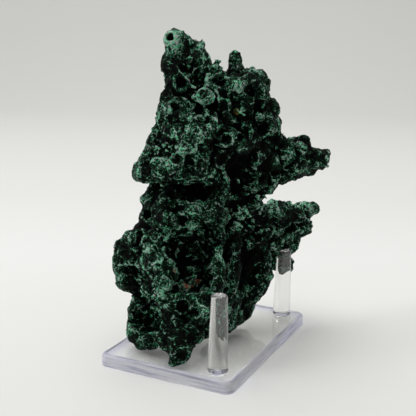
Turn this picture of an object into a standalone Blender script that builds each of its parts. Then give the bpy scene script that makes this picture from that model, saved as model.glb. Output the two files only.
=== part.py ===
"""Malachite specimen standing on a clear acrylic three-peg stand.

Metres, +Z up.  The origin is the centre of the slab's underside, X is the slab's short side and
Y its long side.  The specimen is described in its own axes, which are turned about Z from the
slab's: (across, toward, up), where toward points out of the specimen's show side.
"""

import math

import bmesh
import bpy
from mathutils import Matrix, Vector, noise

MM = 0.001

# Slab of the stand
SLAB_SHORT = 77.0 * MM
SLAB_LONG = 112.0 * MM
SLAB_THICK = 6.8 * MM
SLAB_CORNER = 5.0 * MM
SLAB_TOP_ROUND = 2.2 * MM
SLAB_UNDER_ROUND = 0.6 * MM

# Pegs of the stand, in the slab's axes
PEG_HEIGHT = 40.3 * MM
PEG_FOOT_RADIUS = 5.3 * MM
PEG_TIP_RADIUS = 4.2 * MM
PEG_TIP_ROUND = 0.7 * MM
PEG_FOOT_ROUND = 0.5 * MM
PEG_SIDES = 24
PEG_PLACES = {
    "peg_front": (26.5 * MM, -46.0 * MM),
    "peg_back": (26.5 * MM, 46.0 * MM),
    "peg_far_side": (-26.5 * MM, 0.0),
}

# Spigot under each peg and the blind hole that takes it
SPIGOT_RADIUS = 3.7 * MM
SPIGOT_DEPTH = 3.6 * MM
HOLE_RADIUS = 4.0 * MM
HOLE_DEPTH = 4.0 * MM
HOLE_OVERCUT = 5.0 * MM

# Clearance between the bodies, and the blocks that cut it from the specimen
GAP = 0.3 * MM
CLEARANCE_PLATE = (240.0 * MM, 240.0 * MM, 30.0 * MM)
CLEARANCE_SIDES = 20

# Specimen
STONE_TURN = math.radians(25.5)
STONE_BLANK_VOXEL = 2.0 * MM
STONE_VOXEL = 1.5 * MM
STONE_TRIANGLES = 7700
BALL_STEP = 0.45

# Masses of the specimen: each run is a limb through balls (across, toward, up, radius) in mm
STONE_RUNS = {
    "chimney": [
        [(-21.5, 6, 169.5, 5.5), (-21.5, 6, 164, 5.5), (-21, 8, 157, 6.5), (-18, 8, 150, 8.5)],
        [(-17, 2, 169.5, 4), (-12, 2, 163.5, 5.5), (-7, 0, 158, 5.5), (-1, 0, 153, 3.5)],
        [(-13, 4, 156, 8), (-8, 2, 150, 8)],
        [(-14, -5, 152, 7), (-12, -8, 142, 9)],
    ],
    "finger": [
        [(11, -4, 163, 2.8), (11, -3, 159, 3), (10, -2, 155, 3.5), (13, -2, 152, 5)],
    ],
    "crown": [
        [(6, 2, 146, 7.5), (14, 0, 146, 8.5), (22, -4, 147, 7.5)],
        [(25, -8, 140, 6), (29, -9, 134, 5.5), (32, -9, 126, 5.5), (32, -10, 120, 5.5), (37, -12, 114, 4)],
        [(-19, 9, 139, 9), (-5, 6, 136, 13.5), (13, -2, 134, 15), (26, -14, 127, 8.5)],
        [(-8, -10, 132, 12), (8, -14, 128, 12), (20, -18, 118, 10)],
    ],
    "shoulder": [
        [(-24, 10, 136, 4.5), (-24, 10, 129, 5.5), (-23, 12, 121, 8)],
        [(-31, 12, 115, 5.5), (-33, 13, 108, 5), (-38, 12, 100, 4.5)],
        [(-12, 15, 121, 15.5), (6, 4, 117, 17), (21, -8, 110, 14.5)],
        [(-34, 14, 100, 5), (-23, 20, 105, 9), (-10, 18, 105, 9.5)],
        [(-10, 18, 105, 9.5), (-1, 8, 102, 10.5), (14, -2, 97, 11.5), (28, -12, 100, 11)],
        [(-14, -6, 112, 13), (2, -14, 106, 12), (16, -18, 98, 10)],
    ],
    "arm": [
        [(33, -13, 104, 10), (42, -14, 107, 7.5), (49.5, -15, 112.5, 6.2)],
        [(41, -14, 100, 7.5), (50, -16, 101, 7.5), (57, -18, 104.5, 6.5), (61, -19, 105, 6.5)],
        [(33, -12, 93, 5.5), (28, -10, 88, 4), (26, -10, 84, 3.5)],
    ],
    "neck": [
        [(-20, -4, 88, 8.5), (-10, -4, 86, 11.5), (5, -2, 85, 14), (18, -10, 82, 11.5)],
        [(5, 14, 97, 4), (2, 16, 90, 4), (1, 18, 83, 4)],
    ],
    "left_flank": [
        [(-32, 10, 86.5, 6.5), (-31, 10, 79, 5.5), (-36, 12, 71, 5.5)],
        [(-23, 18, 84, 8.5), (-10, 20, 82, 7), (-2, 18, 80, 5)],
        [(-25, 20, 74, 8), (-13, 16, 74, 6)],
        [(-38, 15, 64, 7.5), (-46, 14, 57, 7.5), (-46, 16, 52, 7), (-44, 16, 43, 7.5), (-42, 15, 37, 6)],
        [(-31, 24, 61, 8.5), (-27, 27, 52, 9), (-29, 26, 42, 7.5)],
        [(-23, 6, 66, 12), (-9, -6, 54, 13), (-17, 10, 40, 10)],
        [(-30, 2, 62, 9), (-36, 4, 48, 7)],
    ],
    "ribs": [
        [(3, 17, 79, 4.5), (4, 20, 71, 3.8), (4, 25, 62, 3.8), (3, 29, 52, 3.8), (3, 31, 41, 4)],
        [(12, 6, 70, 3.2), (13, 10, 62, 3.2), (13, 13, 52, 3), (12, 16, 41, 3.2), (11, 14, 31, 3.5)],
        [(32, -14, 44, 2.8), (31, -10, 37, 2.8), (29, -8, 30, 2.8)],
    ],
    "back_wall": [
        [(9, -5, 62, 10.5), (12, -4, 47, 10.5), (12, 0, 32, 10.5)],
        [(22, -16, 70, 10.5), (25, -20, 56, 11), (24, -19, 41, 11), (21, -14, 27, 7.6)],
        [(-4, -6, 74, 10), (10, -14, 66, 10), (10, -20, 50, 8)],
        [(-4, -3, 54, 10), (-3, 1, 43, 10), (0, 8, 33, 9)],
    ],
    "wing": [
        [(29, -20, 71, 6.5), (41, -36, 69, 6.5), (52, -44, 68, 5.5), (61.5, -50, 68, 5.5)],
        [(36, -32, 59, 9), (48, -44, 58, 7), (56.5, -48, 59, 6.5)],
        [(39, -38, 49, 7.5), (50, -45, 48, 5.5)],
        [(34, -30, 42, 7), (44, -43, 37, 5.5), (48, -45, 30, 3.6)],
        [(31, -24, 31, 6), (28, -21, 25, 5)],
    ],
    "keel": [
        [(22, -14, 21.5, 6.2), (16, -8, 16, 7.5), (9, 2, 14, 7), (1, 14, 16, 6)],
        [(12, 0, 26, 8), (1, 14, 26, 9)],
    ],
    "prow": [
        [(-22, 32, 37, 6), (-13, 36, 39, 4), (-6, 34, 38, 5), (-4, 32, 30, 4.5)],
        [(-18, 34, 28, 7), (-12, 32, 27, 7.5), (-3, 25, 20, 6.5)],
        [(-20, 38, 22, 6.5), (-10, 38, 22, 7)],
        [(-15, 39, 20, 9), (-16, 43, 15, 7.5), (-16.5, 48, 11, 4.8), (-16.5, 50.5, 8, 3.2)],
        [(-27, 28, 41, 6.5), (-20, 30, 32, 6.5)],
    ],
    "lobe": [
        [(-38, 14, 28, 5.5), (-39, 14, 22, 5.5), (-41, 18, 16, 4.5)],
        [(-40, 22, 14, 5.5), (-36, 26, 10, 4.5), (-32, 29, 11, 4.5), (-28, 30, 15, 4.5)],
        [(-33, 6, 18, 7), (-27, 16, 16, 6.5)],
        [(-33, 8, 24, 7), (-26, 14, 34, 8)],
    ],
}

# Hollows carved into the masses: runs of balls (across, toward, up, radius) in mm
STONE_HOLLOWS = {
    "left_cavern": [(-8, 26, 65, 6), (-9, 23, 55, 9), (-10, 24, 46, 8)],
    "left_cavern_mouth": [(-8, 36, 62, 6), (-9, 36, 53, 9.5), (-10, 38, 46, 7)],
    "right_cavern": [(22, 1, 67, 6), (23, -1, 57, 8), (22, 2, 45, 7.5), (20, 6, 35, 5)],
    "gash": [(-40, 16, 92.5, 2.2), (-26, 25, 93, 3.2), (-8, 26, 92, 3.6), (7, 20, 90, 4)],
    "foot_recess": [(-31, 26, 32, 5.5), (-32, 24, 25, 6.5), (-30, 25, 20, 5)],
    "shaded_side": [(12, 17, 109, 6), (16, 12, 100, 8.5), (18, 9, 91, 7), (14, 12, 84, 6)],
    "crown_cave": [(20, 9, 134, 3.6), (28, 3, 133, 3.6)],
    "chimney_mouth": [(-22, 15, 170, 2.6), (-22, 8, 170, 2)],
    "chimney_recess": [(-15, 16, 160, 4), (-9, 13, 155, 4.5)],
    "shoulder_cup": [(-2, 20, 150, 3.5), (5, 16, 147, 5)],
    "collar_pit": [(-21, 21, 145, 3), (-21, 12, 145, 2)],
    "plate_pit": [(-12, 44, 35, 3.2), (-12, 36, 35, 2.5)],
    "flank_pits": [(-46, 23, 57, 2.6), (-42, 25, 49, 3)],
    "flank_slot": [(-38, 20, 70, 2.4), (-34, 22, 64, 2.4)],
    "breast_slot": [(-26, 27, 117, 2.5), (-18, 32, 112, 2.2)],
    "eye_one": [(1, 24, 136, 3.2), (1, 14, 136, 2.6)],
    "eye_two": [(9, 20, 134, 3.2), (9, 10, 134, 2.6)],
    "eye_three": [(-17, 32, 129, 3.6), (-17, 20, 129, 2.8)],
    "eye_four": [(2, 26, 121, 3.6), (2, 16, 121, 2.8)],
    "eye_five": [(13, 19, 121, 3.6), (13, 9, 121, 2.8)],
    "far_hollow_high": [(-4, -28, 122, 7), (2, -30, 114, 6)],
    "far_hollow_low": [(0, -26, 62, 6), (10, -30, 58, 6)],
    "wing_hollow": [(44, -32, 62, 4.5), (50, -38, 58, 3)],
}

# Round lumps that stand out of the crust: (across, toward, up, radius) in mm
STONE_KNOBS = [
    (-4, 19, 141, 5), (-23, 15, 135, 5), (-1, 8, 154, 4), (11, 9, 147, 4), (18, 5, 150, 4),
    (-14, 30, 118, 5), (-22, 25, 124, 4.5), (-38, 17, 101, 4), (-28, 27, 108, 5), (-17, 27, 104, 5),
    (-6, 30, 106, 4.5), (-21, 26, 79, 5), (-9, 26, 78, 4.5), (-29, 33, 56, 5), (-24, 35, 48, 4.5),
    (-40, 22, 62, 4), (-20, 38, 36, 4), (-2, 38, 34, 4.5), (-16, 40, 24, 4.5), (-30, 32, 12, 3.5),
    (47, -6, 104, 4.5), (55, -12, 103, 4), (44, -8, 112, 4), (58, -44, 70, 4.5), (50, -36, 68, 4.5),
    (30, 2, 124, 4), (24, 4, 142, 4.5), (14, -24, 132, 5), (-6, -20, 138, 5), (4, -28, 96, 5),
    (-18, -14, 118, 5), (-12, -18, 80, 5), (16, -30, 74, 5), (26, -30, 56, 5), (-14, -16, 64, 4.5),
]

# Surface relief: size of a cup or lump and how far it moves the surface, in mm
CUP_SIZE = 10.0
CUP_RIM = 2.2
CUP_RIM_SLOPE = 3.2
CUP_DEPTH = 2.6
CUP_WALL_SLOPE = 1.8
LUMP_SIZE = 7.0
LUMP_HEIGHT = 2.2
LUMP_ROUNDNESS = 1.8
LUMP_SHIFT = Vector((50, 20, 90))
PATCH_SIZE = 22.0
PATCH_CONTRAST = 2.5
GRAIN_SIZE = 5.0
GRAIN_HEIGHT = 0.7
SKIN_SHRINK = 0.45
SWAY_SIZE = 17.0
SWAY = 3.5
SWAY_SHIFTS = (Vector((0, 0, 0)), Vector((31, 7, 5)), Vector((3, 43, 17)))


def clear_scene():
    for item in list(bpy.data.objects):
        bpy.data.objects.remove(item, do_unlink=True)


def make_material(name, colour, roughness, alpha=1.0):
    material = bpy.data.materials.new(name)
    material.use_nodes = True
    shader = material.node_tree.nodes["Principled BSDF"]
    shader.inputs["Base Color"].default_value = (*colour, 1.0)
    shader.inputs["Roughness"].default_value = roughness
    shader.inputs["Metallic"].default_value = 0.0
    shader.inputs["Alpha"].default_value = alpha
    return material


def new_object(name, bm, material=None):
    mesh = bpy.data.meshes.new(name)
    bm.to_mesh(mesh)
    bm.free()
    obj = bpy.data.objects.new(name, mesh)
    bpy.context.scene.collection.objects.link(obj)
    if material:
        mesh.materials.append(material)
    return obj


def hide_cutter(cutter):
    cutter.hide_render = True
    cutter.display_type = "WIRE"


def apply_modifiers(obj):
    """Keep the shape that the modifiers make and drop the modifiers."""
    graph = bpy.context.evaluated_depsgraph_get()
    shaped = bpy.data.meshes.new_from_object(obj.evaluated_get(graph))
    obj.modifiers.clear()
    obj.data = shaped


def turned_profile(profile, sides):
    """Spin (radius, height) points about Z into a closed solid."""
    bm = bmesh.new()
    ring = [bm.verts.new((radius, 0.0, height)) for radius, height in profile]
    edges = [bm.edges.new(pair) for pair in zip(ring, ring[1:])]
    bmesh.ops.spin(bm, geom=ring + edges, cent=(0, 0, 0), axis=(0, 0, 1), angle=math.tau,
                   steps=sides, use_merge=True)
    bmesh.ops.remove_doubles(bm, verts=bm.verts, dist=0.01 * MM)
    bmesh.ops.recalc_face_normals(bm, faces=bm.faces)
    return bm


def make_slab(material):
    bm = bmesh.new()
    size = (SLAB_SHORT, SLAB_LONG, SLAB_THICK)
    bmesh.ops.create_cube(bm, size=1.0)
    bmesh.ops.scale(bm, vec=size, verts=bm.verts)
    bmesh.ops.translate(bm, vec=(0, 0, SLAB_THICK / 2), verts=bm.verts)
    upright = [e for e in bm.edges if abs(e.verts[0].co.z - e.verts[1].co.z) > SLAB_THICK / 2]
    bmesh.ops.bevel(bm, geom=upright, offset=SLAB_CORNER, offset_type="OFFSET", segments=6,
                    profile=0.5, affect="EDGES", material=-1)
    for height, offset, segments in ((SLAB_THICK, SLAB_TOP_ROUND, 3), (0.0, SLAB_UNDER_ROUND, 2)):
        rim = [e for e in bm.edges if all(abs(v.co.z - height) < 0.01 * MM for v in e.verts)]
        bmesh.ops.bevel(bm, geom=rim, offset=offset, offset_type="OFFSET", segments=segments,
                        profile=0.5, affect="EDGES", material=-1)
    slab = new_object("slab", bm, material)
    for name, (x, y) in PEG_PLACES.items():
        cut_peg_hole(slab, name, x, y)
    return slab


def cut_peg_hole(slab, name, x, y):
    length = HOLE_DEPTH + HOLE_OVERCUT
    bm = bmesh.new()
    bmesh.ops.create_cone(bm, cap_ends=True, segments=PEG_SIDES, radius1=HOLE_RADIUS,
                          radius2=HOLE_RADIUS, depth=length)
    cutter = new_object(name + "_hole", bm)
    cutter.location = (x, y, SLAB_THICK - HOLE_DEPTH + length / 2)
    hide_cutter(cutter)
    cut = slab.modifiers.new(cutter.name, "BOOLEAN")
    cut.operation = "DIFFERENCE"
    cut.solver = "EXACT"
    cut.object = cutter


def make_peg(name, x, y, material):
    foot = SLAB_THICK + GAP
    tip = SLAB_THICK + PEG_HEIGHT
    profile = [
        (0.0, SLAB_THICK - SPIGOT_DEPTH),
        (SPIGOT_RADIUS, SLAB_THICK - SPIGOT_DEPTH),
        (SPIGOT_RADIUS, foot),
        (PEG_FOOT_RADIUS - PEG_FOOT_ROUND, foot),
        (PEG_FOOT_RADIUS, foot + PEG_FOOT_ROUND),
        (PEG_TIP_RADIUS, tip - PEG_TIP_ROUND),
    ]
    for step in (1, 2, 3):
        angle = math.radians(30 * step)
        radius = PEG_TIP_RADIUS - PEG_TIP_ROUND * (1 - math.cos(angle))
        profile.append((radius, tip - PEG_TIP_ROUND * (1 - math.sin(angle))))
    profile.append((0.0, tip))
    peg = new_object(name, turned_profile(profile, PEG_SIDES), material)
    peg.location = (x, y, 0)
    return peg


def add_ball(bm, across, toward, up, radius):
    place = Matrix.Translation(Vector((across, -toward, up)) * MM)
    bmesh.ops.create_icosphere(bm, subdivisions=2, radius=radius * MM, matrix=place)


def add_limb(bm, run):
    """Fill the way between a run's stations with overlapping balls."""
    for start, end in zip(run, run[1:]):
        gap = math.dist(start[:3], end[:3])
        steps = max(1, math.ceil(gap / (BALL_STEP * min(start[3], end[3]))))
        for step in range(steps + 1):
            share = step / steps
            add_ball(bm, *(a + (b - a) * share for a, b in zip(start, end)))


def settle(obj):
    """Put vertices and faces in one order, so that each run gives the same mesh."""
    old = obj.data
    places = [tuple(round(value / MM, 3) * MM for value in vertex.co) for vertex in old.vertices]
    order = sorted(range(len(places)), key=places.__getitem__)
    rank = {old_index: new_index for new_index, old_index in enumerate(order)}
    faces = []
    for face in old.polygons:
        corners = [rank[index] for index in face.vertices]
        first = corners.index(min(corners))
        faces.append(corners[first:] + corners[:first])
    mesh = bpy.data.meshes.new(obj.name)
    mesh.from_pydata([places[index] for index in order], [], sorted(faces))
    obj.data = mesh


def remesh(obj, voxel):
    skin = obj.modifiers.new("skin", "REMESH")
    skin.mode = "VOXEL"
    skin.voxel_size = voxel
    apply_modifiers(obj)
    settle(obj)


def carve(obj, runs):
    """Take the hollows out of the masses."""
    bm = bmesh.new()
    for run in runs:
        add_limb(bm, run)
    hollow = new_object("hollows", bm)
    remesh(hollow, STONE_BLANK_VOXEL)
    hide_cutter(hollow)
    cut = obj.modifiers.new("carve", "BOOLEAN")
    cut.operation = "DIFFERENCE"
    cut.solver = "EXACT"
    cut.object = hollow
    apply_modifiers(obj)
    bpy.data.objects.remove(hollow, do_unlink=True)


def sway(point):
    """A slow drift that keeps cups and lumps from lining up."""
    return Vector([SWAY * noise.noise(point / SWAY_SIZE + shift) for shift in SWAY_SHIFTS])


def relief(point):
    """Height of the crust over the smooth masses, in mm: cups in some patches, lumps in others."""
    swayed = point + sway(point)
    first, second = noise.voronoi(swayed / CUP_SIZE)[0][:2]
    rim = max(0.0, 1.0 - CUP_RIM_SLOPE * (second - first))
    cup = CUP_RIM * rim - CUP_DEPTH * min(1.0, CUP_WALL_SLOPE * (second - first))
    near = noise.voronoi((swayed + LUMP_SHIFT) / LUMP_SIZE)[0][0]
    lump = LUMP_HEIGHT * (1.0 - LUMP_ROUNDNESS * near * near)
    share = min(1.0, max(0.0, 0.5 + PATCH_CONTRAST * noise.noise(point / PATCH_SIZE)))
    grain = GRAIN_HEIGHT * noise.noise(point / GRAIN_SIZE)
    return cup * share + lump * (1.0 - share) + grain - SKIN_SHRINK


def roughen(obj):
    mesh = obj.data
    moves = [vertex.normal * relief(vertex.co / MM) * MM for vertex in mesh.vertices]
    for vertex, move in zip(mesh.vertices, moves):
        vertex.co += move


def thin_out(obj, triangles):
    bm = bmesh.new()
    bm.from_mesh(obj.data)
    bmesh.ops.triangulate(bm, faces=bm.faces)
    count = len(bm.faces)
    bm.to_mesh(obj.data)
    bm.free()
    thin = obj.modifiers.new("thin", "DECIMATE")
    thin.ratio = triangles / count
    apply_modifiers(obj)


def make_stand_clearance():
    """The room that the slab and the pegs take, with the gap around it."""
    bm = bmesh.new()
    bmesh.ops.create_cube(bm, size=1.0)
    bmesh.ops.scale(bm, vec=CLEARANCE_PLATE, verts=bm.verts)
    bmesh.ops.translate(bm, vec=(0, 0, SLAB_THICK + GAP - CLEARANCE_PLATE[2] / 2), verts=bm.verts)
    clearance = new_object("stand_clearance", bm)
    hide_cutter(clearance)
    cutters = [clearance]
    for name, (x, y) in PEG_PLACES.items():
        bm = bmesh.new()
        place = Matrix.Translation((x, y, SLAB_THICK + PEG_HEIGHT / 2))
        bmesh.ops.create_cone(bm, cap_ends=True, segments=CLEARANCE_SIDES, radius1=PEG_FOOT_RADIUS + 2 * GAP,
                              radius2=PEG_TIP_RADIUS + 2 * GAP, depth=PEG_HEIGHT + 2 * GAP, matrix=place)
        cutter = new_object(name + "_clearance", bm)
        hide_cutter(cutter)
        cutters.append(cutter)
    return cutters


def make_stone(material):
    bm = bmesh.new()
    for runs in STONE_RUNS.values():
        for run in runs:
            add_limb(bm, run)
    for knob in STONE_KNOBS:
        add_ball(bm, *knob)
    stone = new_object("malachite", bm)
    remesh(stone, STONE_BLANK_VOXEL)
    carve(stone, STONE_HOLLOWS.values())
    remesh(stone, STONE_VOXEL)
    roughen(stone)
    remesh(stone, STONE_VOXEL)
    thin_out(stone, STONE_TRIANGLES)
    settle(stone)
    stone.data.transform(Matrix.Rotation(STONE_TURN, 4, "Z"))
    for cutter in make_stand_clearance():
        cut = stone.modifiers.new(cutter.name, "BOOLEAN")
        cut.operation = "DIFFERENCE"
        cut.solver = "EXACT"
        cut.object = cutter
    stone.data.materials.clear()
    stone.data.materials.append(material)
    return stone


def main():
    clear_scene()
    acrylic = make_material("clear_acrylic", (0.86, 0.87, 0.92), 0.04, alpha=0.25)
    malachite = make_material("malachite", (0.012, 0.042, 0.026), 0.62)
    make_slab(acrylic)
    for name, (x, y) in PEG_PLACES.items():
        make_peg(name, x, y, acrylic)
    make_stone(malachite)


main()
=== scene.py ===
import math

import bmesh
import bpy
import numpy as np
import openvdb
from mathutils import Matrix, Vector


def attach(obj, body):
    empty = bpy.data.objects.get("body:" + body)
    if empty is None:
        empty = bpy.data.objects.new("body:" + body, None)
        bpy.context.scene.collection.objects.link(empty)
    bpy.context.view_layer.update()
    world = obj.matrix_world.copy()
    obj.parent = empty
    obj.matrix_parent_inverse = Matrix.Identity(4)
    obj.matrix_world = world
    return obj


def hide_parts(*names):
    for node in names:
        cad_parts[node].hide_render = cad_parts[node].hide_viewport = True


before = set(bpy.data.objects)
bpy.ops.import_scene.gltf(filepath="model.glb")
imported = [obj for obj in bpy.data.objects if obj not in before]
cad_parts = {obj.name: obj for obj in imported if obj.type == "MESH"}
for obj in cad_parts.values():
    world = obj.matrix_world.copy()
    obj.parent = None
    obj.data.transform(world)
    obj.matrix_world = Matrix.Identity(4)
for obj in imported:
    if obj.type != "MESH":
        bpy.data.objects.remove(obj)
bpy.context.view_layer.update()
mm = 0.001

camera = {
    "place": (0.1720, -0.3656, 0.1700),
    "turn": 25.52,       # degrees round from looking along +Y
    "down": 12.70,
    "roll": 1.04,
    "lens": 65.05,       # mm
    "sensor": 36,
    "farthest": 20,      # m
}


def placeCamera():
    view = bpy.data.cameras.new("camera")
    view.lens = camera["lens"]
    view.sensor_width = camera["sensor"]
    view.clip_end = camera["farthest"]
    holder = bpy.data.objects.new("camera", view)
    bpy.context.scene.collection.objects.link(holder)
    turn = Matrix.Rotation(math.radians(camera["turn"]), 4, "Z")
    tilt = Matrix.Rotation(math.radians(90 - camera["down"]), 4, "X")
    roll = Matrix.Rotation(math.radians(camera["roll"]), 4, "Z")
    holder.matrix_world = Matrix.Translation(camera["place"]) @ turn @ tilt @ roll
    bpy.context.scene.camera = holder
    print("camera placed")


light = {
    "world": (1.0, 0.995, 0.975),
    "worldPower": 0.42,
    "keyPlace": (-0.34, 0.1, 2.4),
    "keySize": 2.6,
    "keyPower": 43,
    "keySpread": 180,        # degrees
    "fillPlace": (-1.9, -1.5, 1.0),
    "fillSize": 0.8,
    "fillPower": 3.0,
    "fillSpread": 70,        # narrow, to keep the fill off the paper behind
    "aim": (0, 0, 0.08),     # m
}


def areaLamp(name, place, size, power, spread):
    lamp = bpy.data.lights.new(name, "AREA")
    lamp.shape = "DISK"
    lamp.size = size
    lamp.energy = power
    lamp.spread = math.radians(spread)
    holder = bpy.data.objects.new(name, lamp)
    bpy.context.scene.collection.objects.link(holder)
    look = Vector(light["aim"]) - Vector(place)
    holder.matrix_world = Matrix.Translation(place) @ look.to_track_quat("-Z", "Y").to_matrix().to_4x4()


def setLight():
    world = bpy.data.worlds.new("studio")
    world.use_nodes = True
    sky = world.node_tree.nodes["Background"]
    sky.inputs["Color"].default_value = (*light["world"], 1)
    sky.inputs["Strength"].default_value = light["worldPower"]
    bpy.context.scene.world = world
    for name in ("key", "fill"):
        place, size, power, spread = (light[name + part] for part in ("Place", "Size", "Power", "Spread"))
        areaLamp(name, place, size, power, spread)
    bpy.context.scene.view_settings.view_transform = "Standard"
    print("light set")


def newMaterial(name):
    material = bpy.data.materials.new(name)
    material.use_nodes = True
    return material, material.node_tree, material.node_tree.nodes["Principled BSDF"]


def addNode(tree, kind, **settings):
    node = tree.nodes.new(kind)
    for key, value in settings.items():
        if key in node.inputs:
            node.inputs[key].default_value = value
        else:
            setattr(node, key, value)
    return node


def rampOf(tree, source, stops):
    ramp = tree.nodes.new("ShaderNodeValToRGB")
    marks = ramp.color_ramp.elements
    while len(marks) < len(stops):
        marks.new(0.5)
    for mark, (place, colour) in zip(marks, stops):
        mark.position = place
        mark.color = (*colour, 1)
    tree.links.new(source, ramp.inputs["Fac"])
    return ramp.outputs["Color"]


paper = {
    # painted light and shade: share of the way from the front of the floor to the top of the sweep, and the
    # colour there, brightest a little behind the stand, darker in front and towards the top
    "tones": [
        (0.10, (0.74, 0.74, 0.72)),
        (0.14, (0.78, 0.78, 0.76)),
        (0.19, (0.81, 0.81, 0.80)),
        (0.27, (0.76, 0.76, 0.745)),
        (0.52, (0.73, 0.73, 0.71)),
        (0.94, (0.675, 0.685, 0.655)),
    ],
    "front": -0.4,           # m
    "top": 2.6,
    "roughness": 0.75,
    "gloss": 0.2,
}


def paperMaterial():
    # pale paper with painted light and shade, its tone graded from the front of the floor up the sweep
    material, tree, shader = newMaterial("paper")
    place = addNode(tree, "ShaderNodeTexCoord")
    turned = addNode(tree, "ShaderNodeMapping")
    turned.inputs["Rotation"].default_value[2] = -math.radians(camera["turn"])
    split = addNode(tree, "ShaderNodeSeparateXYZ")
    way = addNode(tree, "ShaderNodeMath", operation="ADD")
    share = addNode(tree, "ShaderNodeMapRange")
    share.inputs["From Min"].default_value = paper["front"]
    share.inputs["From Max"].default_value = paper["top"]
    tree.links.new(place.outputs["Object"], turned.inputs["Vector"])
    tree.links.new(turned.outputs["Vector"], split.inputs[0])
    tree.links.new(split.outputs["Y"], way.inputs[0])
    tree.links.new(split.outputs["Z"], way.inputs[1])
    tree.links.new(way.outputs[0], share.inputs["Value"])
    tree.links.new(rampOf(tree, share.outputs["Result"], paper["tones"]), shader.inputs["Base Color"])
    shader.inputs["Roughness"].default_value = paper["roughness"]
    shader.inputs["Specular IOR Level"].default_value = paper["gloss"]
    return material


crustColour = {
    # tone and colour, from the bottom of a pit, near black with painted shade, to a bare crest, pale with
    # painted highlight
    "tones": [
        (0.16, (0.0001, 0.0001, 0.0001)),
        (0.38, (0.0002, 0.0010, 0.0005)),
        (0.51, (0.0012, 0.0120, 0.0052)),
        (0.66, (0.0110, 0.0480, 0.0270)),
        (0.82, (0.0800, 0.1750, 0.1250)),
        (0.97, (0.3400, 0.5500, 0.4500)),
    ],
    "base": 0.41,
    # painted shade and highlight: what the tone gains for each mark of the shape, per mm, so pits and
    # shut-in hollows darken, far-standing tips a little too, and crests and open, raised parts pale, and how
    # much of the painted light and shade patches it takes
    "marks": {"height": 0.02, "crest": 0.48, "ridge": 0.14, "open": 0.02, "wide": -0.05, "paintedLightShade": 1.0},
    "wide": 0.155,
    "wideMost": 2.2,         # mm, painted shade: only wide hollows darken
    # fine pale seams, partly the crust's own fibres and partly painted highlight: as cells per metre, half
    # the width of the line as a share of a cell, and share of the tone
    "warpScale": 130,
    "warpDetail": 3,
    "warp": 0.006,           # m
    "seams": [
        {"scale": 150, "width": 0.065, "share": 0.30},
        {"scale": 360, "width": 0.10, "share": 0.22},
    ],
    "cell": 0.25,            # share of a cell's own random tone
    "noises": [
        {"scale": 1050, "detail": 3, "rough": 0.8, "share": 2.4},
        {"scale": 115, "detail": 3, "rough": 0.6, "share": 1.9},
    ],
    # tints of grey and of bright green parts
    "tintScale": 800,
    "tintDetail": 3,
    "tintRough": 0.7,
    "tints": [(0.38, (1.60, 0.92, 1.22)), (0.60, (0.28, 1.14, 0.68))],
    "gloss": 0.05,
    "roughness": 0.5,
    "bump": 0.0012,          # m
    # specks show where the finest noise is above this level
    "speckLevel": 0.45,
    "speckContrast": 8.0,
}


def scaled(tree, source, factor, plus):
    # factor * source + plus, where plus is a number or another output
    node = addNode(tree, "ShaderNodeMath", operation="MULTIPLY_ADD")
    tree.links.new(source, node.inputs[0])
    node.inputs[1].default_value = factor
    if isinstance(plus, float):
        node.inputs[2].default_value = plus
    else:
        tree.links.new(plus, node.inputs[2])
    return node.outputs[0]


def seamOf(tree, place, kind):
    # 1 on the walls between the cells, 0 away from them
    walls = addNode(tree, "ShaderNodeTexVoronoi", feature="DISTANCE_TO_EDGE", Scale=kind["scale"])
    tree.links.new(place, walls.inputs["Vector"])
    line = addNode(tree, "ShaderNodeMapRange", interpolation_type="SMOOTHSTEP")
    line.inputs["From Max"].default_value = kind["width"]
    line.inputs["To Min"].default_value = 1
    line.inputs["To Max"].default_value = 0
    tree.links.new(walls.outputs["Distance"], line.inputs["Value"])
    return line.outputs["Result"]


# grains of native copper and ochre between the green: place and reach in mm
specks = {
    "copperLow": {"place": (-3.1, -24.4, 40.9), "reach": 2.6, "colour": (0.62, 0.27, 0.17)},
    "copperFar": {"place": (-2.3, -12.7, 40.1), "reach": 2.4, "colour": (0.62, 0.27, 0.17)},
    "copperSide": {"place": (-4.0, -16.6, 38.1), "reach": 2.0, "colour": (0.62, 0.27, 0.17)},
    "cream": {"place": (-4.2, -35.5, 51.9), "reach": 1.6, "colour": (0.60, 0.46, 0.30)},
    "ochre": {"place": (15.8, -5.4, 133.0), "reach": 2.2, "colour": (0.30, 0.27, 0.06)},
}
# how much tone a part gains where painted light makes it paler or painted shade makes it darker
tones = {"paler": 0.44, "pale": 0.28, "dim": -0.14, "dark": -0.26, "darker": -0.44}
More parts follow.
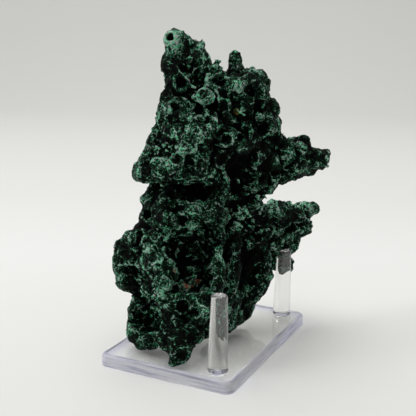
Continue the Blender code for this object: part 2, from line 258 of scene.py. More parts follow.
# parts of the stone that are paler or darker than the rest, mostly painted light and shade: paler where
# tops, rims and crests catch the light, darker under overhangs and in gashes and hollows where shade falls,
# partly the stone's own paler and darker green: place and reach in mm, and tone
paintedLightAndShade = {
    "chimney": (-12, -20, 168, 6, "paler"),
    "flake": (-3, -8, 163, 4, "pale"),
    "ledge": (-2, -11, 150, 6, "paler"),
    "crownTop": (18, 4, 154, 6, "pale"),
    "crownFace": (13, -7, 140, 6, "pale"),
    "goldenCup": (3, -19, 142, 5, "paler"),
    "hexCup": (-13, -27, 133, 5, "paler"),
    "middleCrest": (1, -23, 131, 6, "pale"),
    "greenLump": (-5, -35, 120, 5, "paler"),
    "blade": (16, -7, 129, 5, "paler"),
    "shoulder": (-23, -29, 114, 8, "pale"),
    "breast": (-5, -32, 111, 7, "pale"),
    "frill": (-10, -38, 110, 6, "pale"),
    "wingTip": (35, 63, 72, 8, "pale"),
    "leftRim": (-37, -40, 54, 6, "pale"),
    "leftRidge": (-13, -43, 56, 7, "pale"),
    "hollowLip": (-13, -30, 63, 5, "paler"),
    "ribTop": (0, -5, 64, 5, "paler"),
    "ribFoot": (17, -29, 45, 5, "pale"),
    "wedgeTop": (-7, -43, 40, 6, "paler"),
    "lobeRim": (-27, -40, 15, 6, "paler"),
    "gash": (-8, -21, 153, 6, "darker"),
    "gashRight": (-4, -13, 158, 5, "dark"),
    "underHex": (-14, -25, 140, 5, "darker"),
    "lumpSide": (-10, -33, 126, 7, "darker"),
    "underBlade": (31, 12, 124, 6, "dark"),
    "armTop": (38, 33, 115, 7, "dark"),
    "darkSide": (23, -4, 111, 9, "dark"),
    "underArm": (25, 12, 94, 10, "dim"),
    "underBreast": (9, -30, 105, 6, "dark"),
    "underFrill": (-2, -37, 101, 5, "darker"),
    "waist": (-12, -32, 88, 6, "dark"),
    "leftNotch": (-27, -32, 74, 6, "dark"),
    "wingRoot": (22, 22, 77, 7, "darker"),
    "wingHollow": (24, 30, 62, 8, "dark"),
    "rightHollow": (20, 10, 52, 16, "dark"),
    "leftHollow": (2, -22, 50, 10, "dim"),
    "leftFoot": (-22, -38, 40, 7, "dark"),
    "wedgePit": (2, -43, 38, 4, "darker"),
    "wedgeHollow": (1, -48, 25, 5, "darker"),
    "wedgeSide": (12, -47, 17, 5, "darker"),
    "lobeGap": (-16, -34, 17, 7, "darker"),
}


def paintedLightAndShadeAt(points):
    # painted light and shade of all the patches, summed at each point
    total = np.zeros(len(points), np.float32)
    for x, y, z, reach, tone in paintedLightAndShade.values():
        away = np.linalg.norm(points - np.array((x, y, z), np.float32), axis=1)
        total += tones[tone] * np.exp(-(away / reach) ** 2)
    return total


def nearness(tree, place, spot):
    # 1 within half the reach of the spot, 0 beyond it
    gap = addNode(tree, "ShaderNodeVectorMath", operation="DISTANCE")
    tree.links.new(place, gap.inputs[0])
    gap.inputs[1].default_value = [value * mm for value in spot["place"]]
    near = addNode(tree, "ShaderNodeMapRange", interpolation_type="SMOOTHSTEP")
    near.inputs["From Min"].default_value = 0.5 * spot["reach"] * mm
    near.inputs["From Max"].default_value = spot["reach"] * mm
    near.inputs["To Min"].default_value = 1
    near.inputs["To Max"].default_value = 0
    tree.links.new(gap.outputs["Value"], near.inputs["Value"])
    return near.outputs["Result"]


def speckled(tree, place, noise, colour):
    contrast = crustColour["speckContrast"]
    broken = scaled(tree, noise, contrast, -contrast * crustColour["speckLevel"])
    for speck in specks.values():
        share = addNode(tree, "ShaderNodeMath", operation="MULTIPLY", use_clamp=True)
        tree.links.new(nearness(tree, place, speck), share.inputs[0])
        tree.links.new(broken, share.inputs[1])
        mix = addNode(tree, "ShaderNodeMix", data_type="RGBA")
        tree.links.new(share.outputs[0], mix.inputs[0])
        tree.links.new(colour, mix.inputs[6])
        mix.inputs[7].default_value = (*speck["colour"], 1)
        colour = mix.outputs[2]
    return colour


def malachiteMaterial():
    # painted shade makes it near black in the pits and hollows, deep green on the bumps, and painted
    # highlight makes it pale on the crests, partly so on the seams, with grain all over
    material, tree, shader = newMaterial("malachite")
    links = tree.links
    place = addNode(tree, "ShaderNodeTexCoord").outputs["Object"]
    sway = addNode(tree, "ShaderNodeTexNoise", Scale=crustColour["warpScale"],
                   Detail=crustColour["warpDetail"])
    moved = addNode(tree, "ShaderNodeVectorMath", operation="MULTIPLY_ADD")
    links.new(place, sway.inputs["Vector"])
    links.new(sway.outputs["Color"], moved.inputs[0])
    moved.inputs[1].default_value = [crustColour["warp"]] * 3
    links.new(place, moved.inputs[2])
    tone = crustColour["base"] - crustColour["wide"] * crustColour["wideMost"] - crustColour["cell"] / 2
    noises = []
    for kind in crustColour["noises"]:
        noise = addNode(tree, "ShaderNodeTexNoise", Scale=kind["scale"], Detail=kind["detail"],
                        Roughness=kind["rough"])
        links.new(place, noise.inputs["Vector"])
        tone = scaled(tree, noise.outputs["Fac"], kind["share"], tone)
        tone = scaled(tree, tone, 1.0, -kind["share"] / 2)
        noises.append(noise.outputs["Fac"])
    # painted shade and highlight from the marks of the shape, with the painted light and shade patches
    for mark, share in crustColour["marks"].items():
        value = addNode(tree, "ShaderNodeAttribute", attribute_name=mark)
        tone = scaled(tree, value.outputs["Fac"], share, tone)
    # painted shade in wide hollows
    wide = addNode(tree, "ShaderNodeAttribute", attribute_name="wide")
    least = addNode(tree, "ShaderNodeMath", operation="MINIMUM")
    links.new(wide.outputs["Fac"], least.inputs[0])
    least.inputs[1].default_value = crustColour["wideMost"]
    tone = scaled(tree, least.outputs[0], crustColour["wide"], tone)
    # pale seams, partly painted highlight
    for kind in crustColour["seams"]:
        tone = scaled(tree, seamOf(tree, moved.outputs[0], kind), kind["share"], tone)
    cell = addNode(tree, "ShaderNodeTexVoronoi", Scale=crustColour["seams"][0]["scale"])
    links.new(moved.outputs[0], cell.inputs["Vector"])
    tone = scaled(tree, cell.outputs["Color"], crustColour["cell"], tone)
    tinge = addNode(tree, "ShaderNodeTexNoise", Scale=crustColour["tintScale"],
                    Detail=crustColour["tintDetail"], Roughness=crustColour["tintRough"])
    links.new(place, tinge.inputs["Vector"])
    colour = addNode(tree, "ShaderNodeMix", data_type="RGBA", blend_type="MULTIPLY")
    colour.inputs[0].default_value = 1
    links.new(rampOf(tree, tone, crustColour["tones"]), colour.inputs[6])
    links.new(rampOf(tree, tinge.outputs["Fac"], crustColour["tints"]), colour.inputs[7])
    links.new(speckled(tree, place, noises[0], colour.outputs[2]), shader.inputs["Base Color"])
    shader.inputs["Roughness"].default_value = crustColour["roughness"]
    shader.inputs["Specular IOR Level"].default_value = crustColour["gloss"]
    bump = addNode(tree, "ShaderNodeBump", Strength=1.0, Distance=crustColour["bump"])
    links.new(noises[0], bump.inputs["Height"])
    links.new(bump.outputs["Normal"], shader.inputs["Normal"])
    return material


acrylic = {
    # a faint grey on the slab and pegs, partly the sheet's own and partly painted shade for the stone's
    # shadow and reflection on the slab
    "tint": (0.93, 0.93, 0.92),
    "ior": 1.49,
    "haze": (0.93, 0.93, 1.0),
    "hazeDensity": 1.5,      # per metre
    "lampShare": (0.87, 0.87, 0.87, 1),   # what a lamp loses on each face it shines through
}
rim = {
    # share that lets light through; the pale diffuse rest is painted light for the light carried to the edge
    "clear": 0.50,
    "rough": 0.10,
    # streaks left by the polishing, along the rim
    "stretch": (45, 45, 900),
    "detail": 3,
    "detailRough": 0.6,
    "tones": [(0.38, (0.60, 0.60, 0.74)), (0.50, (0.90, 0.90, 1.0)), (0.66, (1.0, 1.0, 1.0))],
    "bump": 0.0006,          # m
}


def acrylicMaterial(name, clear, rough):
    # lamps shine through it on to the paper, as they do through a real sheet
    material, tree, shader = newMaterial(name)
    shader.inputs["Base Color"].default_value = (*acrylic["tint"], 1)
    shader.inputs["Roughness"].default_value = rough
    shader.inputs["IOR"].default_value = acrylic["ior"]
    shader.inputs["Transmission Weight"].default_value = clear
    ray = addNode(tree, "ShaderNodeLightPath")
    gone = addNode(tree, "ShaderNodeBsdfTransparent")
    gone.inputs["Color"].default_value = acrylic["lampShare"]
    mix = addNode(tree, "ShaderNodeMixShader")
    tree.links.new(ray.outputs["Is Shadow Ray"], mix.inputs[0])
    tree.links.new(shader.outputs[0], mix.inputs[1])
    tree.links.new(gone.outputs[0], mix.inputs[2])
    output = tree.nodes["Material Output"]
    tree.links.new(mix.outputs[0], output.inputs["Surface"])
    body = addNode(tree, "ShaderNodeVolumeAbsorption")
    body.inputs["Color"].default_value = (*acrylic["haze"], 1)
    body.inputs["Density"].default_value = acrylic["hazeDensity"]
    tree.links.new(body.outputs[0], output.inputs["Volume"])
    return material


def rimMaterial():
    # the cut and polished edge of the slab, a faint lavender with streaks; its pale diffuse half is painted
    # light, standing in for the light a clear sheet carries to its edge
    material = acrylicMaterial("acrylicRim", rim["clear"], rim["rough"])
    tree = material.node_tree
    shader = tree.nodes["Principled BSDF"]
    place = addNode(tree, "ShaderNodeTexCoord")
    drawn = addNode(tree, "ShaderNodeMapping")
    drawn.inputs["Scale"].default_value = rim["stretch"]
    streak = addNode(tree, "ShaderNodeTexNoise", Scale=1.0, Detail=rim["detail"],
                     Roughness=rim["detailRough"])
    tree.links.new(place.outputs["Object"], drawn.inputs["Vector"])
    tree.links.new(drawn.outputs["Vector"], streak.inputs["Vector"])
    tree.links.new(rampOf(tree, streak.outputs["Fac"], rim["tones"]), shader.inputs["Base Color"])
    bump = addNode(tree, "ShaderNodeBump", Strength=1.0, Distance=rim["bump"])
    tree.links.new(streak.outputs["Fac"], bump.inputs["Height"])
    tree.links.new(bump.outputs["Normal"], shader.inputs["Normal"])
    return material


slab = {
    "short": 77.0,           # mm
    "long": 112.0,
    "thick": 6.8,
    "corner": 5.0,
    "cornerSteps": 12,
    "topRound": 2.2,
    "topSteps": 8,
    "underRound": 0.6,
    "underSteps": 4,
    "holeRadius": 4.0,
    "holeDepth": 4.0,
    "cutterTall": 10.0,
}
peg = {
    "places": {"peg_front": (26.5, -46.0), "peg_back": (26.5, 46.0), "peg_far_side": (-26.5, 0.0)},
    "height": 40.3,
    "footRadius": 5.3,
    "footRound": 0.5,
    "footSteps": 5,
    "tipRadius": 4.2,
    "tipRound": 0.7,
    "tipSteps": 6,
    "spigotRadius": 3.7,
    "spigotDepth": 3.6,
    "gap": 0.3,
    "sides": 64,
    "sharp": 40,             # degrees, steeper edges stay sharp
    "merge": 0.001,
    "clear": 0.95,           # a small diffuse share, painted light that brightens the rod where a real one gathers light by refraction
}
flat = 0.999                 # a face whose normal is this upright lies flat
slack = 0.01                 # mm, an edge this close to a height lies at it


def finished(name, shape, materials, node):
    bmesh.ops.scale(shape, vec=(mm, mm, mm), verts=shape.verts)
    bmesh.ops.recalc_face_normals(shape, faces=shape.faces)
    mesh = bpy.data.meshes.new(name)
    shape.to_mesh(mesh)
    shape.free()
    for material in materials:
        mesh.materials.append(material)
    piece = bpy.data.objects.new(name, mesh)
    bpy.context.scene.collection.objects.link(piece)
    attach(piece, "root")
    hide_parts(node)
    return piece


def easeEdges(shape, edges, offset, steps):
    bmesh.ops.bevel(shape, geom=edges, offset=offset, offset_type="OFFSET", segments=steps,
                    profile=0.5, affect="EDGES", material=-1)


def edgesAt(shape, height):
    return [e for e in shape.edges if all(abs(v.co.z - height) < slack for v in e.verts)]


def buildSlab(clear, edge):
    # rounded plate with a polished rim, and blind holes for the pegs
    shape = bmesh.new()
    bmesh.ops.create_cube(shape, size=1)
    bmesh.ops.scale(shape, vec=(slab["short"], slab["long"], slab["thick"]), verts=shape.verts)
    bmesh.ops.translate(shape, vec=(0, 0, slab["thick"] / 2), verts=shape.verts)
    upright = [e for e in shape.edges if abs(e.verts[0].co.z - e.verts[1].co.z) > slab["thick"] / 2]
    easeEdges(shape, upright, slab["corner"], slab["cornerSteps"])
    easeEdges(shape, edgesAt(shape, slab["thick"]), slab["topRound"], slab["topSteps"])
    easeEdges(shape, edgesAt(shape, 0), slab["underRound"], slab["underSteps"])
    for face in shape.faces:
        face.smooth = abs(face.normal.z) < flat
        face.material_index = 1 if face.smooth else 0
    for line in shape.edges:
        line.smooth = len({face.material_index for face in line.link_faces}) == 1
    plate = finished("slabClear", shape, (clear, edge), "slab")
    cutter = holeCutter()
    cut = plate.modifiers.new("pegHoles", "BOOLEAN")
    cut.solver = "EXACT"
    cut.object = cutter
    bpy.context.view_layer.update()
    shaped = bpy.data.meshes.new_from_object(plate.evaluated_get(bpy.context.evaluated_depsgraph_get()))
    plate.modifiers.clear()
    plate.data = shaped
    bpy.data.objects.remove(cutter)
    print("slab faces", len(shaped.polygons))


def holeCutter():
    shape = bmesh.new()
    for x, y in peg["places"].values():
        low = slab["thick"] - slab["holeDepth"]
        place = Matrix.Translation((x, y, low + slab["cutterTall"] / 2))
        bmesh.ops.create_cone(shape, cap_ends=True, segments=peg["sides"], radius1=slab["holeRadius"],
                              radius2=slab["holeRadius"], depth=slab["cutterTall"], matrix=place)
    for face in shape.faces:
        face.smooth = abs(face.normal.z) < flat
    for line in shape.edges:
        line.smooth = all(face.smooth for face in line.link_faces)
    bmesh.ops.scale(shape, vec=(mm, mm, mm), verts=shape.verts)
    mesh = bpy.data.meshes.new("pegHoles")
    shape.to_mesh(mesh)
    shape.free()
    cutter = bpy.data.objects.new("pegHoles", mesh)
    bpy.context.scene.collection.objects.link(cutter)
    return cutter


def quarterTurn(steps):
    # sine and cosine at equal steps along a quarter turn
    angles = [math.radians(90 / steps * step) for step in range(steps + 1)]
    return [(math.sin(angle), math.cos(angle)) for angle in angles]


def buildPeg(node, clear):
    # turned pin with a spigot below and a flat tip with an eased rim
    foot = slab["thick"] + peg["gap"]
    tip = slab["thick"] + peg["height"]
    low = slab["thick"] - peg["spigotDepth"]
    outline = [(0, low), (peg["spigotRadius"], low), (peg["spigotRadius"], foot)]
    for sine, cosine in quarterTurn(peg["footSteps"]):
        outline.append((peg["footRadius"] - peg["footRound"] * (1 - sine),
                        foot + peg["footRound"] * (1 - cosine)))
    for sine, cosine in quarterTurn(peg["tipSteps"]):
        outline.append((peg["tipRadius"] - peg["tipRound"] * (1 - cosine),
                        tip - peg["tipRound"] * (1 - sine)))
    outline.append((0, tip))
    shape = bmesh.new()
    dots = [shape.verts.new((r, 0, z)) for r, z in outline]
    lines = [shape.edges.new(pair) for pair in zip(dots, dots[1:])]
    bmesh.ops.spin(shape, geom=dots + lines, cent=(0, 0, 0), axis=(0, 0, 1), angle=math.tau,
                   steps=peg["sides"], use_merge=True)
    bmesh.ops.remove_doubles(shape, verts=shape.verts, dist=peg["merge"])
    bmesh.ops.recalc_face_normals(shape, faces=shape.faces)
    for face in shape.faces:
        face.smooth = abs(face.normal.z) < flat
    for line in shape.edges:
        gentle = line.calc_face_angle(0) < math.radians(peg["sharp"])
        line.smooth = gentle and all(face.smooth for face in line.link_faces)
    bmesh.ops.translate(shape, vec=(*peg["places"][node], 0), verts=shape.verts)
    piece = finished(node + "Clear", shape, (clear,), node)
    print(node, "faces", len(piece.data.polygons))


crust = {
    "voxel": 0.6,            # mm
    "band": 9.0,             # mm of distance kept on both sides of the skin
    "margin": 2.0,           # mm at the end of the band that stay plain
    "merge": 0.02,           # mm
    "blur": 1.1,             # mm, rounds the facets of the plain solid
    "seed": 11,
    "triangles": 196000,
}
# every pattern of the crust is bent by these waves, in mm
waves = [
    {"size": 15, "sway": 2.6, "seed": 0},
    {"size": 5, "sway": 1.2, "seed": 10},
    {"size": 2.4, "sway": 0.45, "seed": 20},
]
# round lumps with cracks between them, in mm
lumps = {"size": 10.5, "rise": 1.6, "crack": 2.4, "crackWidth": 1.0, "seed": 33}
beads = {"size": 2.7, "rise": 0.75, "crack": 0.45, "crackWidth": 0.35, "seed": 50,
         "bend": 1.7, "thinPower": 0.75}
dome = {"least": 0.2, "foot": 0.62}      # the lowest lump's share of the rise, the foot's of a cell
# hollows of two sizes with sharp crests between them, in mm: power makes deep ones rare
hollows = [
    {"size": 7.6, "shallow": 0.1, "deep": 6.5, "power": 2.6, "crest": 0.8, "lift": 0.8,
     "seed": 35, "bend": 1.2},
    {"size": 4.0, "shallow": 0.2, "deep": 3.4, "power": 2.0, "crest": 0.5, "lift": 0.75,
     "seed": 40, "bend": 1.4},
]
grain = {"size": 1.4, "height": 0.28, "seed": 70}
# shallow cups with a raised rim: place, reach and depth in mm
cups = {
    "chimneyMouth": (-15.3, -20.0, 169.8, 2.6, 3.4),
    "ledgeLeft": (-8.5, -22.0, 148.0, 2.8, 2.4),
    "ledgeRight": (6.0, -8.0, 148.3, 3.6, 1.6),
    "golden": (3.6, -20.4, 142.0, 2.8, 1.2),
    "hex": (-9.2, -26.5, 136.2, 2.4, 1.8),
    "crown": (11.6, -11.8, 136.8, 3.2, 2.6),
    "pale": (15.3, -17.0, 119.6, 2.4, 1.0),
    "paleRight": (19.6, -10.0, 120.4, 2.0, 1.5),
    "breast": (-4.0, -34.6, 110.5, 2.8, 0.9),
    "dusk": (12.5, -15.5, 109.3, 3.6, 2.4),
    "plate": (3.2, -40.6, 36.0, 3.4, 1.5),
}
# round bites out of the crust: place and reach in mm
nicks = {
    "neck": (-21.6, -19.0, 163.0, 3.0),
    "waist": (-20.8, -20.6, 150.4, 3.5),
    "gashLeft": (-7.6, -19.8, 155.2, 2.8),
    "gashMiddle": (-5.2, -16.2, 156.4, 3.0),
    "gashRight": (0.6, -11.8, 153.8, 2.4),
    "hexPit": (-9.2, -29.5, 132.6, 1.9),
    "crownCave": (24.4, 6.0, 134.8, 4.2),
    "slotNear": (22.4, 0.2, 124.6, 2.0),
    "slotFar": (25.6, 5.8, 124.8, 2.0),
    "armRoot": (33.5, 25.0, 118.2, 2.4),
    "arm": (42.6, 35.2, 116.4, 2.8),
    "leftFoot": (-35.5, -32.0, 31.2, 6.0),
}
# round masses in the crust, the last three of them behind thin parts: place and reach in mm
knobs = {
    "chimneyHead": (-15.0, -16.5, 168.4, 5.6),
    "chimneyHip": (-17.6, -16.2, 156.0, 4.6),
    "saddle": (4.6, -8.0, 155.4, 2.8),
    "goldenLump": (3.4, -17.5, 140.5, 4.8),
    "hexLump": (-9.6, -23.2, 137.2, 4.2),
    "greenLump": (-2.2, -31.8, 119.4, 4.4),
    "frillLeft": (-11.6, -36.8, 107.8, 3.4),
    "frillRight": (-4.6, -34.2, 105.4, 3.2),
    "blade": (24.2, 3.6, 129.2, 2.8),
    "armNear": (38.2, 29.4, 109.6, 5.4),
    "armFar": (47.4, 38.6, 104.0, 5.6),
    "wedgeLeft": (-3.6, -47.6, 17.6, 4.2),
    "gashBack": (-24.4, -11.6, 95.0, 7.5),
    "lobeBack": (-22.9, -27.5, 15.5, 5.0),
    "leftBack": (-26.4, -25.9, 44.0, 6.0),
}
# parts of the crust with less relief: place and reach in mm
calms = {
    "wedge": (2.0, -42.0, 30.0, 13.0),
    "chimney": (-14.0, -18.0, 164.0, 8.0),
    "leftKnob": (-25.0, -34.0, 100.0, 6.0),
    "armKnobs": (43.0, 34.0, 107.0, 10.0),
}
forms = {
    "rise": 1.2,             # mm
    "rimGap": 0.8,
    "rimWidth": 0.9,
    "calm": 0.25,            # share of the relief that is left inside a cup
    "calmReach": 2.0,
    "calmShare": 0.5,        # and in the calm parts
    "around": {"knob": 8, "cup": 6, "nick": 1},      # mm worked on beyond the reach of each
}
# how narrow limbs keep their body, in mm
thinning = {
    "reach": 5.0,
    "none": 0.2,
    "full": 1.9,
    "least": 0.14,           # share of the relief that a thin part keeps
    "deepest": 4.6,          # cut into a thick part
    "thinDeepest": 0.8,      # and into a thin one
    "grow": 0.5,
    "clip": 6,
    "step": 3,               # voxels between the samples of the wide blur
}
# calm and broken parts by turns, and the share of the relief in each
patches = {"size": 21, "contrast": 1.3, "calm": 0.5, "wild": 1.25, "seed": 90}


def atCorners(share):
    # the eight corners of a lattice box with their shares
    for a in (0, 1):
        for b in (0, 1):
            for c in (0, 1):
                weight = (
                    (share[:, 0] if a else 1 - share[:, 0])
                    * (share[:, 1] if b else 1 - share[:, 1])
                    * (share[:, 2] if c else 1 - share[:, 2])
                )
                yield a, b, c, weight


def latticeNoise(points, size, seed):
    # smooth random values from -1 to 1 between lattice points that are size apart
    spots = points / size
    low = np.floor(spots.min(0)).astype(int) - 1
    high = np.floor(spots.max(0)).astype(int) + 3
    table = np.random.default_rng(seed).random(tuple(high - low), dtype=np.float32) * 2 - 1
    base = np.floor(spots)
    share = (spots - base).astype(np.float32)
    share = share * share * (3 - 2 * share)
    i, j, k = (base.astype(int) - low).T
    return sum(weight * table[i + a, j + b, k + c] for a, b, c, weight in atCorners(share))


def cells(points, size, seed):
    # distance to the nearest seed, to the wall towards the next cell, and the cell's own random number
    spots = (points / size).astype(np.float32)
    low = np.floor(spots.min(0)).astype(int) - 2
    high = np.floor(spots.max(0)).astype(int) + 3
    draw = np.random.default_rng(seed)
    seeds = draw.random((*(high - low), 3), dtype=np.float32)
    chance = draw.random(tuple(high - low), dtype=np.float32)
    home = np.floor(spots).astype(int) - low
    local = spots - np.floor(spots)
    first = np.full(len(spots), 9.0, np.float32)
    second = first.copy()
    luck = np.zeros(len(spots), np.float32)
    for a in (-1, 0, 1):
        for b in (-1, 0, 1):
            for c in (-1, 0, 1):
                i, j, k = home[:, 0] + a, home[:, 1] + b, home[:, 2] + c
                gap = seeds[i, j, k] + np.array((a, b, c), np.float32) - local
                reach = np.sqrt((gap * gap).sum(1))
                nearer = reach < first
                second = np.where(nearer, first, np.minimum(second, reach))
                luck = np.where(nearer, chance[i, j, k], luck)
                first = np.where(nearer, reach, first)
    return first * size, (second - first) * size * 0.5, luck


def distanceField(node, voxel, band):
    # signed distance to the node's skin in mm, on a grid of voxel mm
    shell = bmesh.new()
    shell.from_mesh(node.data)
    bmesh.ops.remove_doubles(shell, verts=shell.verts, dist=crust["merge"] * mm)
    bmesh.ops.triangulate(shell, faces=shell.faces)
    shell.verts.index_update()
    points = np.array([vertex.co for vertex in shell.verts], np.float32) / mm
    triangles = np.array([[v.index for v in face.verts] for face in shell.faces], np.uint32)
    shell.free()
    grid = openvdb.FloatGrid.createLevelSetFromPolygons(
        points, triangles=triangles, transform=openvdb.createLinearTransform(voxel), halfWidth=band / voxel)
    low, high = grid.evalActiveVoxelBoundingBox()
    field = np.empty(tuple(np.array(high) - np.array(low) + 1), np.float32)
    grid.copyToArray(field, ijk=low)
    return field, np.array(low)


def blurred(field, reach):
    tail = math.ceil(2.2 * reach)
    steps = range(-tail, tail + 1)
    weights = [math.exp(-0.5 * (step / reach) ** 2) for step in steps]
    shares = [np.float32(weight / sum(weights)) for weight in weights]
    for axis in range(3):
        field = sum(share * np.roll(field, step, axis) for share, step in zip(shares, steps))
    return field


def widely(field, clip, reach, step, voxel):
    # every step-th voxel, blurred over reach mm
    return blurred(np.clip(field[::step, ::step, ::step], -clip, clip), reach / (step * voxel))


def sampled(field, spots):
    home = np.floor(spots).astype(int)
    share = (spots - home).astype(np.float32)
    i, j, k = home.T
    return sum(weight * field[i + a, j + b, k + c] for a, b, c, weight in atCorners(share))


def addLumps(depth, points, kind, ease):
    near, edge, luck = cells(points, kind["size"], crust["seed"] + kind["seed"])
    away = np.clip(near / (dome["foot"] * kind["size"]), 0, 1)
    rise = kind["rise"] * (dome["least"] + luck) * (1 - away ** 2)
    crack = kind["crack"] * np.exp(-(edge / kind["crackWidth"]) ** 2)
    return depth + ease * (crack - rise)


def addHollows(depth, points, kind, ease):
    _, edge, luck = cells(points, kind["size"], crust["seed"] + kind["seed"])
    deep = kind["shallow"] + (kind["deep"] - kind["shallow"]) * luck ** kind["power"]
    return depth + ease * (deep * (1 - np.exp(-edge / kind["crest"])) - kind["lift"])


def nearTo(points, spot, margin):
    # the points around a form and how far they lie from its middle
    away = points - np.array(spot[:3], np.float32)
    near = np.nonzero(np.abs(away).max(1) < spot[3] + margin)[0]
    return near, np.linalg.norm(away[near], axis=1)


def addForms(depth, ease, points):
    around = forms["around"]
    for spot in calms.values():
        near, away = nearTo(points, spot, spot[3])
        ease[near] *= 1 - (1 - forms["calmShare"]) * np.exp(-(away / spot[3]) ** 4)
    for spot in knobs.values():
        near, away = nearTo(points, spot, around["knob"])
        depth[near] = np.minimum(depth[near], away - spot[3])
    for spot in cups.values():
        near, away = nearTo(points, spot, around["cup"])
        lip = forms["rise"] * np.exp(-((away - spot[3] - forms["rimGap"]) / forms["rimWidth"]) ** 2)
        depth[near] += spot[4] * np.exp(-(away / spot[3]) ** 4) - lip
        calm = np.clip((away - spot[3]) / forms["calmReach"] - 0.5, 0, 1)
        ease[near] *= forms["calm"] + (1 - forms["calm"]) * calm
    for spot in nicks.values():
        near, away = nearTo(points, spot, around["nick"])
        depth[near] = np.maximum(depth[near], spot[3] - away)
    return depth, ease


def swayOf(points, axis):
    seed = crust["seed"] + axis
    return sum(latticeNoise(points, wave["size"], seed + wave["seed"]) * wave["sway"] for wave in waves)


def thinAt(field, active, voxel):
    # 1 in a thin part of the stone, 0 in a thick one
    bulk = widely(field, thinning["clip"], thinning["reach"], thinning["step"], voxel)
    bulk = sampled(bulk, np.stack(active, 1) / thinning["step"]) - field[active]
    return np.clip((bulk - thinning["none"]) / (thinning["full"] - thinning["none"]), 0, 1)


def crustField(field, low, voxel):
    active = np.nonzero(np.abs(field) < crust["band"] - crust["margin"])
    points = (np.stack(active, 1) + low) * np.float32(voxel)
    depth = field[active]
    drift = np.stack([swayOf(points, axis) for axis in range(3)], 1)
    thin = thinAt(field, active, voxel)
    ease = 1 - (1 - thinning["least"]) * thin
    patch = patches["contrast"] * latticeNoise(points, patches["size"], crust["seed"] + patches["seed"])
    patch = np.clip(0.5 + patch, 0, 1)
    ease = ease * (patches["calm"] + (patches["wild"] - patches["calm"]) * patch)
    depth, ease = addForms(depth, ease, points)
    shape = addLumps(depth, points + drift, lumps, ease)
    for kind in hollows:
        shape = addHollows(shape, points + drift * np.float32(kind["bend"]), kind, ease)
    shape = addLumps(shape, points + drift * np.float32(beads["bend"]), beads, ease ** beads["thinPower"])
    deepest = thinning["deepest"] + (thinning["thinDeepest"] - thinning["deepest"]) * thin
    shape = np.minimum(shape, depth + deepest) - thinning["grow"] * thin
    shape = shape + latticeNoise(points, grain["size"], crust["seed"] + grain["seed"]) * grain["height"]
    result = field.copy()
    result[active] = shape
    print("crust points", len(points))
    return result


def largestBody(places, quads):
    # drop crumbs that float beside the stone and bubbles sealed inside it
    quads = quads.astype(np.int64)
    label = np.arange(len(places))
    while True:
        least = label[quads].min(1)
        lower = label.copy()
        for corner in range(4):
            np.minimum.at(lower, quads[:, corner], least)
        lower = lower[lower]
        if (lower == label).all():
            break
        label = lower
    kept = label == np.bincount(label).argmax()
    renumber = np.cumsum(kept) - 1
    return places[kept], renumber[quads[kept[quads[:, 0]]]]


def meshOf(field, low, voxel):
    grid = openvdb.FloatGrid(float(crust["band"]))
    grid.copyFromArray(np.ascontiguousarray(field), ijk=tuple(int(v) for v in low))
    grid.transform = openvdb.createLinearTransform(voxel)
    places, quads = largestBody(*grid.convertToQuads(0))
    mesh = bpy.data.meshes.new("malachiteCrust")
    mesh.from_pydata((places * mm).tolist(), [], quads[:, ::-1].tolist())
    print("stone quads", len(quads))
    return mesh


def thinned(stone, triangles):
    bpy.context.view_layer.update()
    thin = stone.modifiers.new("thin", "DECIMATE")
    thin.ratio = triangles / (2 * len(stone.data.polygons))
    thin.use_collapse_triangulate = True
    shaped = bpy.data.meshes.new_from_object(stone.evaluated_get(bpy.context.evaluated_depsgraph_get()))
    stone.modifiers.clear()
    stone.data = shaped
    print("stone triangles", len(shaped.polygons))


# how far a point stands out of ever wider surroundings, which the material turns into painted shade and
# highlight: in mm, and the step in voxels
standings = {
    "ridge": {"clip": 3, "reach": 1.8, "step": 1},
    "crest": {"clip": 2, "reach": 0.8, "step": 1},
    "open": {"clip": 6, "reach": 5.0, "step": 3},
    "wide": {"clip": 12, "reach": 10.0, "step": 6},
}


def markHeights(mesh, skin, field, low, voxel):
    # height is how far a point stands out of the smooth skin
    places = np.empty(len(mesh.vertices) * 3, np.float32)
    mesh.vertices.foreach_get("co", places)
    spots = places.reshape(-1, 3) / (mm * voxel) - low
    # the painted light and shade patches, and the marks from which the material paints shade and highlight
    marks = {"paintedLightShade": paintedLightAndShadeAt(places.reshape(-1, 3) / mm), "height": sampled(skin, spots)}
    for name, kind in standings.items():
        wider = widely(field, kind["clip"], kind["reach"], kind["step"], voxel)
        marks[name] = sampled(wider, spots / kind["step"])
    for name, values in marks.items():
        mesh.attributes.new(name, "FLOAT", "POINT").data.foreach_set("value", values.astype(np.float32))
        print(name, np.percentile(values, (5, 25, 50, 75, 95)).round(2))


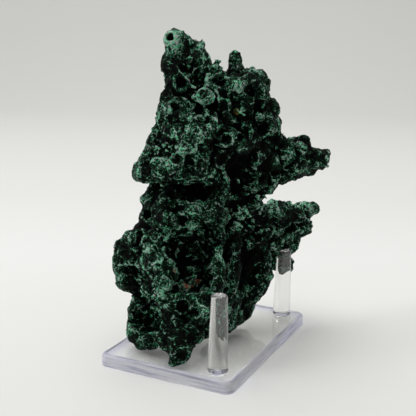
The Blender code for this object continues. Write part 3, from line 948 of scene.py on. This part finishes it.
def buildStone(material):
    voxel = crust["voxel"]
    skin, low = distanceField(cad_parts["malachite"], voxel, crust["band"])
    skin = blurred(skin, crust["blur"] / voxel)
    field = crustField(skin, low, voxel)
    stone = bpy.data.objects.new("malachiteCrust", meshOf(field, low, voxel))
    bpy.context.scene.collection.objects.link(stone)
    thinned(stone, crust["triangles"])
    markHeights(stone.data, skin, field, low, voxel)
    stone.data.shade_smooth()
    stone.data.materials.append(material)
    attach(stone, "root")
    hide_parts("malachite")


sweep = {"front": -1.6, "back": 2.2, "width": 3.0, "rise": 2.4, "bend": 0.9, "steps": 24, "gap": 0.0002}  # m


def buildSweep(material):
    # paper that lies flat and curves up behind the object, turned to face the camera
    shape = bmesh.new()
    bmesh.ops.create_grid(shape, x_segments=1, y_segments=1, size=1)
    bmesh.ops.scale(shape, vec=(sweep["width"], 1, 1), verts=shape.verts)
    turn = Matrix.Rotation(math.radians(camera["turn"]), 4, "Z")
    far = [e for e in shape.edges if all(v.co.y > 0 for v in e.verts)]
    start = sweep["back"] - sweep["bend"]
    for vertex in shape.verts:
        vertex.co.y = start if vertex.co.y > 0 else sweep["front"]
    bmesh.ops.spin(shape, geom=far, cent=(0, start, sweep["bend"]), axis=(1, 0, 0), angle=math.radians(90),
                   steps=sweep["steps"], use_merge=False)
    top = [v for v in shape.verts if v.co.z > sweep["bend"] - mm]
    last = [e for e in shape.edges if all(v in top for v in e.verts)]
    lifted = bmesh.ops.extrude_edge_only(shape, edges=last)["geom"]
    lifted = [part for part in lifted if isinstance(part, bmesh.types.BMVert)]
    bmesh.ops.translate(shape, vec=(0, 0, sweep["rise"]), verts=lifted)
    bmesh.ops.recalc_face_normals(shape, faces=shape.faces)
    bmesh.ops.transform(shape, matrix=turn, verts=shape.verts)
    bmesh.ops.translate(shape, vec=(0, 0, -sweep["gap"]), verts=shape.verts)
    mesh = bpy.data.meshes.new("sweep")
    shape.to_mesh(mesh)
    shape.free()
    mesh.shade_smooth()
    mesh.materials.append(material)
    floor = bpy.data.objects.new("sweep", mesh)
    bpy.context.scene.collection.objects.link(floor)
    print("paper laid")


placeCamera()
setLight()
buildSweep(paperMaterial())
buildStone(malachiteMaterial())
buildSlab(acrylicMaterial("clearAcrylic", 1.0, 0.0), rimMaterial())
turned = acrylicMaterial("turnedAcrylic", peg["clear"], 0.0)
for node in peg["places"]:
    buildPeg(node, turned)
